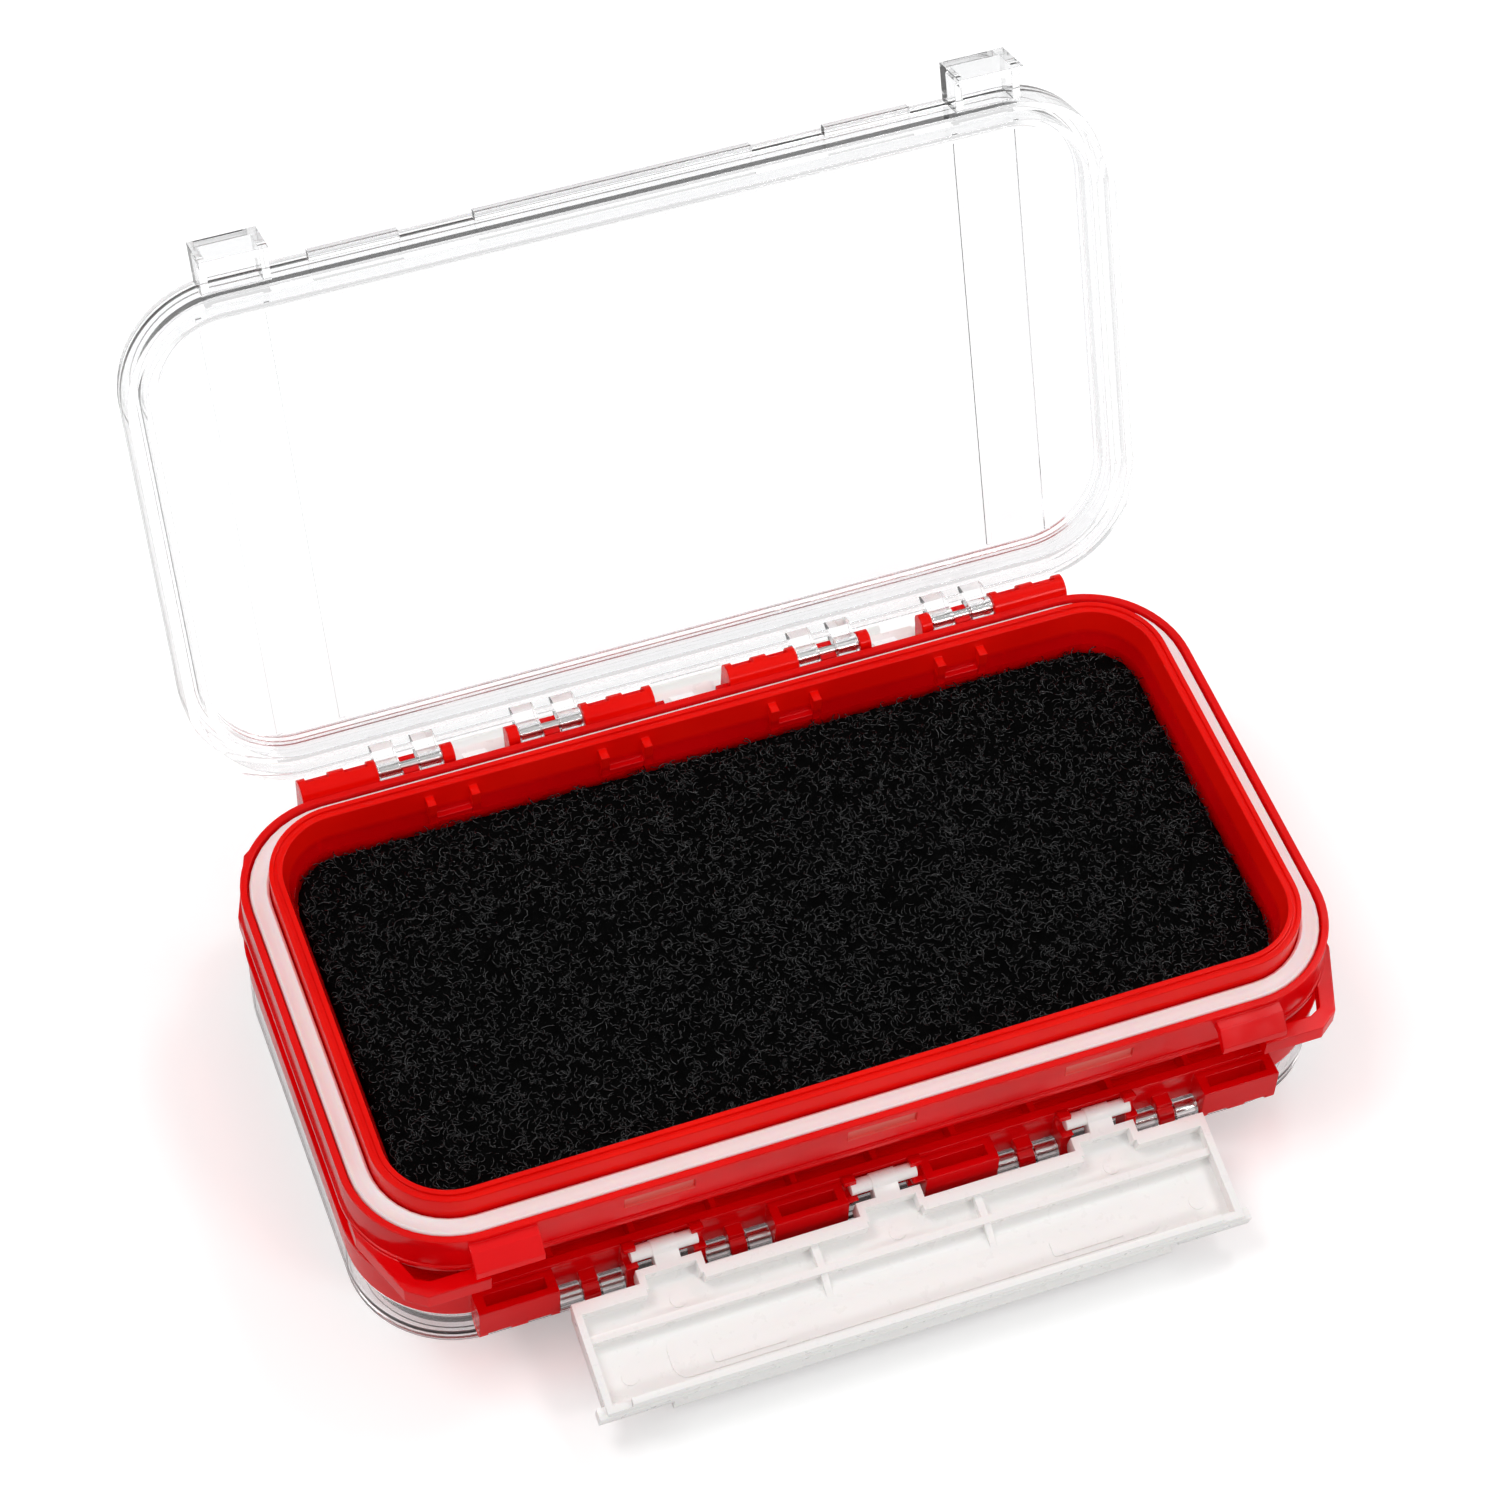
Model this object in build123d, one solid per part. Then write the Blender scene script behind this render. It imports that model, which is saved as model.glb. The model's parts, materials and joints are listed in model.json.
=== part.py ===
from build123d import *
import os
from math import atan2, degrees

os.makedirs("parts", exist_ok=True)

# Double-sided tackle box, millimetres, +Z up, base of the closed lower lid on Z = 0.
# Every half part is drawn once in the frame of the upper half: origin on the parting
# plane, hinge side towards +Y. The lower half is the same part turned over about X.

# Driving sizes
RIM_L = 170.0          # inner length of the tray at its rim
RIM_W = 82.6           # inner width of the tray at its rim
RIM_R = 12.0           # inner corner radius of the rim
RIM_T = 2.4            # wall of the tray
RIM_H = 16.5           # rim above the parting plane
LID_RISE = 5.0         # outer face of the closed lid above the rim
SEAT_W = 4.2           # width of the seal trough
SEAL_H = 2.2           # height of the seal ring
SEAL_DROP = 4.4        # rim top down to the seal top
LIP_T = 1.3            # outer wall of the trough, which runs on as the skirt
FLOOR_T = 1.6          # floor of each tray
SKIRT_END = 3.4        # lower end of the skirt above the parting plane
FLANGE_W = 2.4         # flange on the parting plane, out from the tray wall
FLANGE_T = 1.4         # its thickness
LOOP_W = 3.0           # bar of the lanyard loops
LOOP_OUT = 3.4         # how far that bar stands out past the skirt
MAT_H = 7.2            # height of the fibre mat
DRAFT = 1.6            # how far the tray wall leans in above the mat
PIN_R = 0.9            # lid pin
KNUCKLE_R = 2.1        # clear knuckle
BLOCK_R = 2.6          # red hinge block
STUB_R = 1.4           # round stub on a latch arm
ROW_END = 9.0          # end of the hinge row, in from the tray's inner end
LATCH_T = 1.6          # latch plate
LID_ANGLE = 112.0      # upper lid at rest, standing open, degrees
FRONT_ANGLE = 103.5    # front latch at rest, lying open, degrees
BACK_ANGLE = 30.0      # back latch at rest, unhooked, degrees

# Named clearances
SOFT_GAP = 0.3         # between soft pieces, lid edges and their neighbours
RUN_GAP = 0.05         # radial, shaft in hole
SIDE_GAP = 0.25        # beside a knuckle
SEAL_GAP = 0.15        # seal ring in its trough
SWEEP_GAP = 2.4        # latch plate round the hinge blocks, as it swings
HOOK_GAP = 0.35        # between a red hook and the clear knuckles beside it
FLAP_GAP = 0.8         # lid loop outside the flap

# Sizes that follow
LID_TOP = RIM_H + LID_RISE
OUT = RIM_T + SEAT_W + LIP_T
LIP_X = RIM_L / 2 + OUT
LIP_Y = RIM_W / 2 + OUT
SEAL_TOP = RIM_H - SEAL_DROP
SEAT_Z = SEAL_TOP - SEAL_H
LIP_TOP = SEAL_TOP + 0.1
PIN_Y = LIP_Y + KNUCKLE_R + SOFT_GAP
PIN_Z = SEAL_TOP - 0.5
AX_Y = LIP_Y + 2.0
AX_Z = PIN_Z - 6.6
WALL_Z = LIP_TOP + SOFT_GAP
LEDGE_TOP = LID_TOP - 2.1
LEDGE_OUT = 1.6

# The hinge row along X stretches with the tray: outer blocks, knuckle bays, latch arms,
# inner blocks. Spans are for the right half, and both() adds the left one.
ROW_X = RIM_L / 2 - ROW_END
ARM_X = 0.543 * ROW_X
ARM_W = 4.6
ARMS = (-ARM_X, 0.0, ARM_X)
CHEEK_IN = 5.2
CHEEK_OUT = 7.4
KNUCKLE_W = 4.2
BAY_W = 2 * KNUCKLE_W + 4.2
BAYS = ((ARM_X + CHEEK_OUT, ARM_X + CHEEK_OUT + BAY_W), (ARM_X - CHEEK_OUT - BAY_W, ARM_X - CHEEK_OUT))
BLOCKS = ((BAYS[0][1], ROW_X), (CHEEK_OUT, BAYS[1][0]))
CHEEKS = ((ARM_X + CHEEK_IN, ARM_X + CHEEK_OUT), (ARM_X - CHEEK_OUT, ARM_X - CHEEK_IN), (CHEEK_IN, CHEEK_OUT))
PIN_SPANS = (("outer", BAYS[0][0] - 1.6, ROW_X - 2.0), ("inner", CHEEK_OUT + 1.6, BAYS[1][1] + 1.6))
LATCH_HALF = 0.79 * ROW_X
FLAP_X = (ROW_X - 12.4, ROW_X)
FLAP_OUT = 5.0
CLIPS = (-0.66 * ROW_X, -0.22 * ROW_X, 0.22 * ROW_X, 0.66 * ROW_X)
STRAPS = (ROW_X - 11.5, ROW_X + 0.5)


def block(x0, x1, y0, y1, z0, z1):
    """Box from its limits."""
    return Pos((x0 + x1) / 2, (y0 + y1) / 2, (z0 + z1) / 2) * Box(x1 - x0, y1 - y0, z1 - z0)


def slab(grow, z0, z1):
    """Rounded rectangle, grown from the rim's inner outline, from z0 to z1."""
    face = RectangleRounded(RIM_L + 2 * grow, RIM_W + 2 * grow, RIM_R + grow)
    return Pos(0, 0, z0) * extrude(face, z1 - z0)


def ring(inner, outer, z0, z1):
    """Band between two outlines grown from the rim."""
    return slab(outer, z0, z1) - slab(inner, z0 - 1, z1 + 1)


def rod(x0, x1, y, z, r):
    """Cylinder along X."""
    return Pos((x0 + x1) / 2, y, z) * Rot(0, 90, 0) * Cylinder(r, x1 - x0)


def plate(x0, x1, points):
    """Profile in the YZ plane, drawn out along X."""
    face = make_face(Polyline(*[(0, y, z) for y, z in points], close=True))
    return Pos(x0, 0, 0) * extrude(face, amount=x1 - x0, dir=(1, 0, 0))


def both(x0, x1):
    """A span and its mirror image on the other side of X = 0."""
    return ((x0, x1), (-x1, -x0))


def swing(part, y, z, degrees):
    """Turn about the axis along X through y, z."""
    return Pos(0, y, z) * Rot(degrees, 0, 0) * Pos(0, -y, -z) * part


# Half shell
def make_shell():
    # tray wall and floor
    body = slab(RIM_T, 0, RIM_H)
    depth = RIM_H - FLOOR_T - MAT_H
    mouth = extrude(RectangleRounded(RIM_L, RIM_W, RIM_R), -depth, taper=degrees(atan2(DRAFT, depth)))
    well = slab(-DRAFT, FLOOR_T, RIM_H)
    body -= well
    body -= Pos(0, 0, RIM_H) * mouth
    # groove between the two beads of the rim
    body -= ring(RIM_T * 0.38, RIM_T * 0.64, RIM_H - 0.5, RIM_H + 1)
    # trough, outer lip and skirt
    body += ring(RIM_T - 0.5, OUT - LIP_T / 2, SEAT_Z - 1.8, SEAT_Z)
    body += ring(OUT - LIP_T, OUT, SKIRT_END, LIP_TOP)
    body += ring(OUT - 0.6, OUT + 0.4, SKIRT_END, SKIRT_END + 1.0)
    # flange on the parting plane
    body += ring(RIM_T - 0.5, RIM_T + FLANGE_W, 0, FLANGE_T)
    # upright webs under the trough
    for i in range(-5, 6):
        for s in (-1, 1):
            x = i * ROW_X / 5
            y0 = RIM_W / 2 + RIM_T - 0.4
            y1 = LIP_Y - LIP_T / 2
            web = block(x - 0.6, x + 0.6, y0, y1, SKIRT_END + 0.6, SEAT_Z - 1)
            body += web if s > 0 else mirror(web, Plane.XZ)
    for y in (-0.29 * RIM_W, 0, 0.29 * RIM_W):
        for s in (-1, 1):
            x0 = RIM_L / 2 + RIM_T - 0.4
            x1 = LIP_X - LIP_T / 2
            web = block(x0, x1, y - 0.6, y + 0.6, SKIRT_END + 0.6, SEAT_Z - 1)
            body += web if s > 0 else mirror(web, Plane.YZ)
    # pale windows: thin places in the lip above the latch
    for x in ARMS:
        body -= block(x - 6.5, x + 6.5, -LIP_Y - 1, -LIP_Y + 0.6, SEAT_Z - 2.0, SEAT_Z + 0.8)
    # hinge blocks with windows on the pin
    for span in BLOCKS:
        for x0, x1 in both(*span):
            foot = block(x0, x1, LIP_Y - 0.8, PIN_Y + BLOCK_R, SKIRT_END + 1.4, PIN_Z)
            foot = foot + rod(x0, x1, PIN_Y, PIN_Z, BLOCK_R)
            foot += block(x0, x1, LIP_Y - 0.8, PIN_Y, PIN_Z - 1, PIN_Z + 0.5)
            mid = (x0 + x1) / 2
            wide = x1 - x0
            for c in (mid - 0.25 * wide, mid + 0.25 * wide):
                foot -= block(c - 0.15 * wide, c + 0.15 * wide, PIN_Y + 0.2, PIN_Y + 2 * BLOCK_R,
                              PIN_Z + 0.1, PIN_Z + 2 * BLOCK_R)
            foot -= block(mid - 0.38 * wide, mid + 0.38 * wide, LIP_Y + 1.4, PIN_Y + 1.2, 0, PIN_Z - 2.2)
            body += foot
    # cheeks: one end of each pin and the open socket of a latch stub
    for span in CHEEKS:
        for x0, x1 in both(*span):
            cheek = block(x0, x1, LIP_Y - 0.8, AX_Y, AX_Z - 1.6, PIN_Z - 1.0)
            cheek += rod(x0, x1, AX_Y, AX_Z, STUB_R + 1.1)
            if span[0] > CHEEK_OUT:
                cheek += rod(x0, x1, PIN_Y, PIN_Z, KNUCKLE_R)
                cheek += block(x0, x1, LIP_Y - 0.8, PIN_Y, PIN_Z - 2.1, PIN_Z - 0.2)
                cheek += plate(x0, x1, ((AX_Y - 0.5, AX_Z + 1.5), (AX_Y + 1.4, AX_Z + 1.8),
                                        (PIN_Y + 1.8, PIN_Z - 0.9), (PIN_Y - 1.5, PIN_Z - 0.9)))
            cheek -= rod(x0 - 1, x1 + 1, AX_Y, AX_Z, STUB_R + RUN_GAP)
            cheek -= block(x0 - 1, x1 + 1, AX_Y + 0.35, AX_Y + 4, AX_Z - 4, AX_Z + 1.0)
            body += cheek
    # hooks under the pins in the middle of each knuckle bay
    for x0, x1 in BAYS:
        a = x0 + SIDE_GAP + KNUCKLE_W + HOOK_GAP
        b = x1 - SIDE_GAP - KNUCKLE_W - HOOK_GAP
        for p, q in both(a, b):
            lug = block(p, q, LIP_Y - 0.8, PIN_Y, PIN_Z - 3.0, PIN_Z - 0.2)
            lug += rod(p, q, PIN_Y, PIN_Z, KNUCKLE_R - 0.1)
            lug -= block(p - 1, q + 1, PIN_Y - 9, PIN_Y + 9, PIN_Z + 0.3, PIN_Z + 9)
            body += lug
    # seats of the pins
    for where, a, b in PIN_SPANS:
        for x0, x1 in both(a, b):
            body -= rod(x0, x1, PIN_Y, PIN_Z, PIN_R)
    # flaps that the lid's loops come down over
    for x0, x1 in both(*FLAP_X):
        y = -LIP_Y + 0.5
        body += plate(x0, x1, ((y, SEAT_Z + 1.4), (y - 0.48 * FLAP_OUT, SEAT_Z + 1.2),
                               (y - FLAP_OUT, SEAT_Z - 1.4), (y - FLAP_OUT, SEAT_Z - 3.0),
                               (y - FLAP_OUT + 0.9, SEAT_Z - 3.0), (y - 0.36 * FLAP_OUT, SEAT_Z - 0.6),
                               (y, SEAT_Z - 0.6)))
    # lanyard loops round the two front corners, level with the gap between the skirts
    bend = ((LIP_X - 0.2, -LIP_Y + 12.2), (LIP_X - 5.0, -LIP_Y - LOOP_OUT + 2.6),
            (LIP_X - 8.5, -LIP_Y - LOOP_OUT))
    inner = ((LIP_X - 0.2 - LOOP_W, -LIP_Y + 12.6), (LIP_X - 4.4 - LOOP_W, -LIP_Y - LOOP_OUT + 4.2),
             (LIP_X - 6.7 - LOOP_W, -LIP_Y - LOOP_OUT + LOOP_W))
    root = RIM_W / 2 + RIM_T + FLANGE_W - 0.6
    end = FLAP_X[1] - LOOP_W
    bar = Polyline((LIP_X - 0.2, -LIP_Y + 17.0), *bend, (end, -LIP_Y - LOOP_OUT), (end, -root),
                   (FLAP_X[1], -root), (FLAP_X[1], -LIP_Y - LOOP_OUT + LOOP_W), *reversed(inner),
                   (LIP_X - OUT + RIM_T + FLANGE_W - 0.6, -LIP_Y + 14.0),
                   (LIP_X - OUT + RIM_T + FLANGE_W - 0.6, -LIP_Y + 17.0), close=True)
    bar = Pos(0, 0, 0.4) * extrude(make_face(bar), SKIRT_END)
    for s in (1, -1):
        body += bar if s > 0 else mirror(bar, Plane.YZ)
    # clips on the hinge-side wall and nubs on the latch-side wall of the tray
    top = RIM_H - 1.6
    foot = FLOOR_T + MAT_H + 0.4
    wall = RIM_W / 2
    for x in CLIPS:
        for s in (-1, 1):
            body += block(x + s * 4.2 - 0.8, x + s * 4.2 + 0.8, wall - 2.6, wall + 0.4, foot, top)
            body += block(x + s * 3.8 - 0.6, x + s * 3.8 + 0.6, -wall - 0.4, -wall + 0.9, top - 2.4, top)
        body += block(x - 4.2, x + 4.2, wall - 2.4, wall - 1.2, foot, foot + 0.26 * (top - foot))
    return body


# Seal ring
def make_seal():
    return ring(RIM_T + SEAL_GAP, RIM_T + SEAT_W - SEAL_GAP, SEAT_Z, SEAL_TOP)


# Fibre mat
def make_mat():
    return slab(-DRAFT - SOFT_GAP, FLOOR_T, FLOOR_T + MAT_H)


# Clear lid
def make_lid():
    # rim of two beads over the seal
    lid = ring(OUT - 1.6, OUT, WALL_Z, LID_TOP)
    lid += ring(OUT - 4.9, OUT - 3.3, SEAL_TOP + SOFT_GAP, LID_TOP)
    lid += ring(OUT - 4.9, OUT, LID_TOP - 2.0, LID_TOP)
    lid -= ring(OUT - 3.0, OUT - 1.9, LID_TOP - 0.5, LID_TOP + 1)
    # flat panel
    lid += slab(OUT - 4.0, LID_TOP - 2.8, LID_TOP - 0.8)
    # lengthwise ribs that run into the loops
    for x0 in STRAPS:
        for a, b in both(x0 - 0.5, x0 + 0.5):
            lid += block(a, b, -RIM_W / 2 - 0.9, RIM_W / 2 + 0.9, LID_TOP - 3.4, LID_TOP - 2.6)
    # ledge for the latch hook, in three lengths
    for a, b in (*both(0.66 * LATCH_HALF, LATCH_HALF - 4), (-0.43 * LATCH_HALF, 0.43 * LATCH_HALF)):
        lid += block(a, b, -LIP_Y - LEDGE_OUT, -LIP_Y + 0.5, LEDGE_TOP - 1.8, LEDGE_TOP)
    # loops over the flaps
    for x0, x1 in both(*FLAP_X):
        y = -LIP_Y
        wall = y - FLAP_OUT - FLAP_GAP
        loop = block(x0, x1, wall - 1.4, y + 0.5, SEAT_Z + 1.6, LID_TOP - 0.4)
        loop -= block(x0 + 1.4, x1 - 1.4, wall, y - 0.2, 0, LID_TOP - 2.0)
        loop -= block(x0 - 1, x1 + 1, wall, y + 1, 0, LIP_TOP + SOFT_GAP + 1.6)
        lid += loop
    # room for the red blocks as the lid turns
    for span in BLOCKS:
        for x0, x1 in both(span[0] - 0.4, span[1] + 0.4):
            lid -= rod(x0, x1, PIN_Y, PIN_Z, BLOCK_R + SOFT_GAP)
    # knuckles and their arms
    for x0, x1 in BAYS:
        for k in ((x0 + SIDE_GAP, x0 + SIDE_GAP + KNUCKLE_W),
                  (x1 - SIDE_GAP - KNUCKLE_W, x1 - SIDE_GAP)):
            for a, b in both(*k):
                arm = plate(a, b, ((LIP_Y - 0.6, WALL_Z + 0.4), (LIP_Y - 0.6, LID_TOP - 3.0),
                                   (PIN_Y + 0.8, PIN_Z + 3.0), (PIN_Y + 2.0, PIN_Z + 0.6),
                                   (PIN_Y, PIN_Z), (PIN_Y - 1.4, PIN_Z + 1.2)))
                arm += rod(a, b, PIN_Y, PIN_Z, KNUCKLE_R)
                lid += arm
    for x0, x1 in BAYS:
        for a, b in both(x0 + 0.5, x1 - 0.5):
            lid -= rod(a - 0.4, b + 0.4, PIN_Y, PIN_Z, PIN_R + RUN_GAP)
    return lid


# Latch, hanging closed from its axis down to the other half's lid
def make_latch():
    hook_z = -(LEDGE_TOP + SOFT_GAP)
    end_z = hook_z - LATCH_T
    top_z = AX_Z - 4.6
    out_y = AX_Y + 5.0
    body = block(-LATCH_HALF, LATCH_HALF, AX_Y + 0.2, out_y, end_z, top_z)
    # hollow side
    in_y = out_y - LATCH_T
    mid_z = top_z - 0.38 * (top_z - end_z)
    body -= block(-LATCH_HALF + 1.4, LATCH_HALF - 1.4, 0, in_y, mid_z - 0.7, top_z - 1.4)
    body -= block(-LATCH_HALF + 1.4, LATCH_HALF - 1.4, 0, in_y - 0.5, hook_z + 1.0, mid_z - 0.7)
    body += block(-LATCH_HALF + 1, LATCH_HALF - 1, AX_Y + 1.6, in_y + 0.3, mid_z - 0.7, mid_z + 0.7)
    for x in (-0.26 * LATCH_HALF, 0.26 * LATCH_HALF):
        body += block(x - 0.7, x + 0.7, AX_Y + 1.0, in_y + 0.3, mid_z, top_z - 1)
    # hook along the free edge and the finger lip outside it
    hook = LATCH_HALF - 4.5
    body += block(-hook, hook, LIP_Y + 0.5, out_y - 1, end_z, hook_z)
    body += block(-hook + 5.5, hook - 5.5, out_y - 1, out_y + 2.6, end_z, end_z + 1.8)
    # scallops over the blocks and knuckles, as they stand when the latch lies open
    for span in ((CHEEK_OUT, ARM_X - CHEEK_OUT), (ARM_X + CHEEK_OUT, LATCH_HALF + 1)):
        for a, b in both(*span):
            body -= swing(rod(a, b, PIN_Y, PIN_Z, BLOCK_R + SWEEP_GAP), AX_Y, AX_Z, -FRONT_ANGLE)
    # arms with a round stub on each side
    for x in ARMS:
        a, b = x - ARM_W / 2, x + ARM_W / 2
        body += plate(a, b, ((AX_Y - 1.2, AX_Z), (AX_Y + 2.0, AX_Z + 0.4), (out_y - 0.6, top_z + 2.0),
                             (out_y - 0.6, top_z - 1), (AX_Y + 0.2, top_z - 1)))
        body += rod(a, b, AX_Y, AX_Z, STUB_R + 0.2)
        body += rod(x - CHEEK_IN - 1, x + CHEEK_IN + 1, AX_Y, AX_Z, STUB_R)
    return body


def make_pin(x0, x1):
    return rod(x0, x1, PIN_Y, PIN_Z, PIN_R)


def upper(part):
    """Stand a half part on the closed height."""
    return Pos(0, 0, LID_TOP) * part


def lower(part):
    """The same half part turned over about the long axis."""
    return Pos(0, 0, LID_TOP) * Rot(180, 0, 0) * part


shell = make_shell()
seal = make_seal()
mat = make_mat()
lid = make_lid()
latch = make_latch()

nodes = {
    "upper_shell": upper(shell),
    "lower_shell": lower(shell),
    "upper_seal": upper(seal),
    "lower_seal": lower(seal),
    "upper_mat": upper(mat),
    "lower_mat": lower(mat),
    "upper_lid": upper(swing(lid, PIN_Y, PIN_Z, -LID_ANGLE)),
    "lower_lid": lower(lid),
    "back_latch": upper(swing(latch, AX_Y, AX_Z, BACK_ANGLE)),
    "front_latch": lower(swing(latch, AX_Y, AX_Z, FRONT_ANGLE)),
}
for where, x0, x1 in PIN_SPANS:
    for side, (a, b) in zip(("right", "left"), both(x0, x1)):
        nodes["upper_pin_" + where + "_" + side] = upper(make_pin(a, b))
        nodes["lower_pin_" + where + "_" + side] = lower(make_pin(a, b))

for name, part in nodes.items():
    part.label = name
    solids = part.solids()
    box = part.bounding_box()
    print(name, len(solids), "solid", round(sum(s.volume for s in solids)), "mm3",
          [round(v, 1) for v in (*box.min, *box.max)])
    export_step(part, "parts/" + name + ".step")
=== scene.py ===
# %% [markdown]
# # A double-sided tackle box
# The box is two equal red trays back to back. Each tray has a white seal, a mat of
# curled black fibre, a clear lid on steel pins and a white latch. The trays, lids and
# pins come from the CAD model as they are and get their finishes here. The latches get
# a finer form than their plain solids. The seals and the mats are modelled here too,
# because a plain solid can't show squeezed rubber or loose fibre.

import json
import math

import bpy
from mathutils import Matrix, Vector

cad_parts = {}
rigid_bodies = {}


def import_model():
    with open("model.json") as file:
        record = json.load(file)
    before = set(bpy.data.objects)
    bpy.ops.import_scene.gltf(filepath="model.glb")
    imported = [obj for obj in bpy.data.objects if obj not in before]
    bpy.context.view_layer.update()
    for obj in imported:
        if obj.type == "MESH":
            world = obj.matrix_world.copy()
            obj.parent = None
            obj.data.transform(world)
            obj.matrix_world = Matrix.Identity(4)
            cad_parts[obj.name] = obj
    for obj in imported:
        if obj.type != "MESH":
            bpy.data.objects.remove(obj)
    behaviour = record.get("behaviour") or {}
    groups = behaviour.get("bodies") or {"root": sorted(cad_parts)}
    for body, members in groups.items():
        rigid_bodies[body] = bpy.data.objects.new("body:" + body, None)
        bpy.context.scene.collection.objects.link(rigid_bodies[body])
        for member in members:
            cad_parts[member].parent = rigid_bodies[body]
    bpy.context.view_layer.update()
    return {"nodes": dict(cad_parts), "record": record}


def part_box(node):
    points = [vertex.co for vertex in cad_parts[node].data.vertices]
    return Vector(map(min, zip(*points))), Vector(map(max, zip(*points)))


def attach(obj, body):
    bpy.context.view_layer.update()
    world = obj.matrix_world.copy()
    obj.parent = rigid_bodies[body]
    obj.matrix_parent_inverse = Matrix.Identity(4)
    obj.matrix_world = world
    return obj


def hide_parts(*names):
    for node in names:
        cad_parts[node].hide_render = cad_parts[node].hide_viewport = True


bpy.ops.wm.read_factory_settings(use_empty=True)
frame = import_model()

# %% [markdown]
# ## Where things are
# All sizes are in metres and in the frame of the CAD model, so a new piece is placed
# by the same numbers as the part. The parting plane between the two trays is at half
# the closed height. Both halves could be modelled, but the lower one is the upper one
# turned over about the long axis, so each piece is modelled once and its copy turned.

# %% Sizes shared with the part
MM = 0.001
PARTING = 21.5 * MM
TRAY_HALF_X, TRAY_HALF_Y, TRAY_RADIUS = 85.0 * MM, 41.3 * MM, 12.0 * MM
ARMS_AT = (-41.27 * MM, 0.0, 41.27 * MM)  # the arms of a latch, and the windows at them
# from the frame of one half, whose origin is on the parting plane, to its place
TO_UPPER = Matrix.Translation((0, 0, PARTING))
TO_LOWER = TO_UPPER @ Matrix.Rotation(math.pi, 4, "X")
mat_low, mat_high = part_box("upper_mat")
print("upper mat from", [round(v, 4) for v in mat_low], "to", [round(v, 4) for v in mat_high])

# %% [markdown]
# ## The camera
# The photograph was taken from the front left, a little over half way up, through a
# lens of about 100 mm. A camera could be turned by hand until it fits. Here its place
# was worked out from the corners of the tray, whose sizes are known, because that
# gives the same picture each time.

# %% Put the camera where the photograph was taken
AZIMUTH, ELEVATION, ROLL = (math.radians(a) for a in (-22.3453, 52.9416, 2.7172))
TRAY_LENGTH = 2 * TRAY_HALF_X
ASIDE, UPWARD, AWAY = (share * TRAY_LENGTH for share in (-0.0379, 0.1436, 4.4633))
LOOKED_AT = Vector((0, 0, 38.0 * MM))
FOCAL_PIXELS, FRAME_PIXELS, SENSOR_MM = 4212.72, 1500, 36.0
back = Vector((math.sin(AZIMUTH) * math.cos(ELEVATION),
               -math.cos(AZIMUTH) * math.cos(ELEVATION), math.sin(ELEVATION)))
level = Vector((math.cos(AZIMUTH), math.sin(AZIMUTH), 0.0))
steep = back.cross(level)
right = level * math.cos(ROLL) + steep * math.sin(ROLL)
up = steep * math.cos(ROLL) - level * math.sin(ROLL)
bpy.ops.object.camera_add(location=LOOKED_AT + right * ASIDE + up * UPWARD + back * AWAY)
camera = bpy.context.object
camera.name = "camera"
camera.rotation_mode = "QUATERNION"
camera.rotation_quaternion = Matrix((right, up, back)).transposed().to_quaternion()
camera.data.sensor_width = SENSOR_MM
camera.data.lens = FOCAL_PIXELS / FRAME_PIXELS * SENSOR_MM
camera.data.clip_start, camera.data.clip_end = 0.05, 20.0
bpy.context.scene.camera = camera
print("camera at", [round(v, 3) for v in camera.location],
      "with a lens of", round(camera.data.lens, 1), "mm")

# %% [markdown]
# ## Helpers for finishes
# A finish is a small graph of nodes. Each one here starts from the place on the
# object, adds some unevenness of colour and gloss, and ends with a fine relief. Real
# moulded edges are rounded by some tenths of a millimetre and catch the light. A Bevel
# modifier could round them in the mesh, but the CAD meshes are loose triangles, which
# it would tear, so the Bevel node rounds them in the shading.


# %% Tell one kind of ray from another
def ray_share(tree, *kinds):
    """1 for rays of the named kinds, 0 for all others."""
    path = tree.nodes.new("ShaderNodeLightPath")
    share = path.outputs["Is %s Ray" % kinds[0]]
    for kind in kinds[1:]:
        either = tree.nodes.new("ShaderNodeMath")
        either.operation = "MAXIMUM"
        tree.links.new(share, either.inputs[0])
        tree.links.new(path.outputs["Is %s Ray" % kind], either.inputs[1])
        share = either.outputs[0]
    return share


# %% Build up a finish from nodes
COLOUR_A, COLOUR_B, COLOUR_OUT = 6, 7, 2  # the colour sockets of a Mix node


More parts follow.
